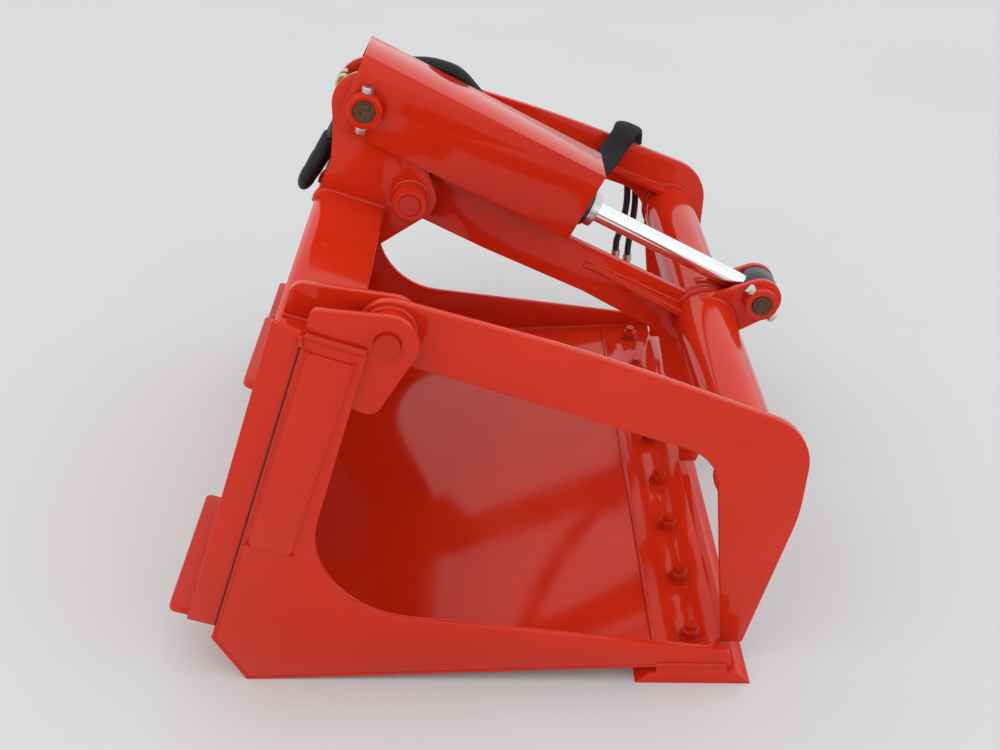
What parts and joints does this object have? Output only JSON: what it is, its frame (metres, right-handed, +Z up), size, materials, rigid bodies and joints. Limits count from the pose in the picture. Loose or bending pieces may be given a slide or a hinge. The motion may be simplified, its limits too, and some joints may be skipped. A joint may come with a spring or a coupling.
{
  "type": "skid steer grapple bucket",
  "caption": "Skid steer bucket with a hydraulic grapple: two outer arms and a centre arm on one cross tube, closed by a guarded cylinder.",
  "frame": {"origin": "middle of the box round the whole part, at its base", "axes": "+X towards the mouth and cutting edge, +Y towards the left side with the hose couplers, +Z up"},
  "size_m": [1.1028, 1.214, 0.9339],
  "materials": {
    "paint": "gloss",
    "painted_fasteners": "gloss",
    "bare_steel": "rough",
    "zinc": "satin",
    "black_steel": "gloss",
    "chrome": "polished",
    "fabric": "matt",
    "rubber": "satin"
  },
  "bodies": {
    "bucket": {"bucket_shell": "paint", "side_plate_right": "paint", "side_plate_left": "paint", "lip_plate": "paint", "cutting_edge": "paint", "lip_bolts": "painted_fasteners", "lip_washers": "painted_fasteners", "lip_nuts": "painted_fasteners", "top_beam": "paint", "mount_plate": "paint", "upper_lips": "paint", "end_plate_right": "paint", "end_plate_left": "paint", "lower_lip_right": "paint", "lower_lip_left": "paint", "name_plates": "paint", "outer_ear_right": "paint", "outer_ear_left": "paint", "inner_ear_right": "paint", "inner_ear_left": "paint", "arm_pins": "painted_fasteners", "pin_collars": "paint", "bracket_plate_right": "paint", "bracket_plate_left": "paint", "centre_pin": "painted_fasteners", "centre_collars": "paint", "base_pin": "bare_steel", "base_collars": "paint", "base_lock_bolts": "zinc", "guard_spacers": "paint", "hose_lead_a": "rubber", "hose_lead_b": "rubber", "sleeve_rear": "fabric", "sleeve_span": "fabric"},
    "grapple": {"arm_right": "paint", "arm_left": "paint", "centre_arm": "paint", "arm_hubs": "paint", "centre_hub": "paint", "cross_tube": "paint", "gussets": "paint", "clevis_ear_right": "paint", "clevis_ear_left": "paint", "rod_pin": "bare_steel", "rod_collar": "paint", "rod_lock_bolt": "zinc", "sleeve_drape": "fabric", "hose_tail_a": "rubber", "hose_tail_b": "rubber", "coupler_a": "zinc", "coupler_b": "zinc"},
    "cylinder": {"barrel": "black_steel", "base_eye": "black_steel", "gland": "zinc", "port_fittings": "zinc", "cylinder_guard": "paint", "guard_saddle": "paint"},
    "rod": {"rod": "chrome", "rod_eye": "black_steel"}
  },
  "joints": [
    {"name": "grapple_hinge", "type": "hinge", "parent": "bucket", "child": "grapple", "pos_m": [-0.16844, 0, 0.66803], "axis": [0, -1, 0], "range_deg": [0, 52], "deforming": ["sleeve_span"]},
    {"name": "cylinder_tilt", "type": "hinge", "parent": "bucket", "child": "cylinder", "pos_m": [-0.24344, 0, 0.84002], "axis": [0, -1, 0], "range_deg": [0, 45.86], "deforming": ["hose_lead_a", "hose_lead_b"]},
    {"name": "rod_slide", "type": "slide", "parent": "cylinder", "child": "rod", "axis": [-0.8918, 0, 0.4524], "range_m": [0, 0.1416]}
  ],
  "couplings": [
    {"joint": "cylinder_tilt", "follows": "grapple_hinge", "ratio": 0.878},
    {"joint": "rod_slide", "follows": "grapple_hinge", "m_per_rad": 0.1555}
  ]
}
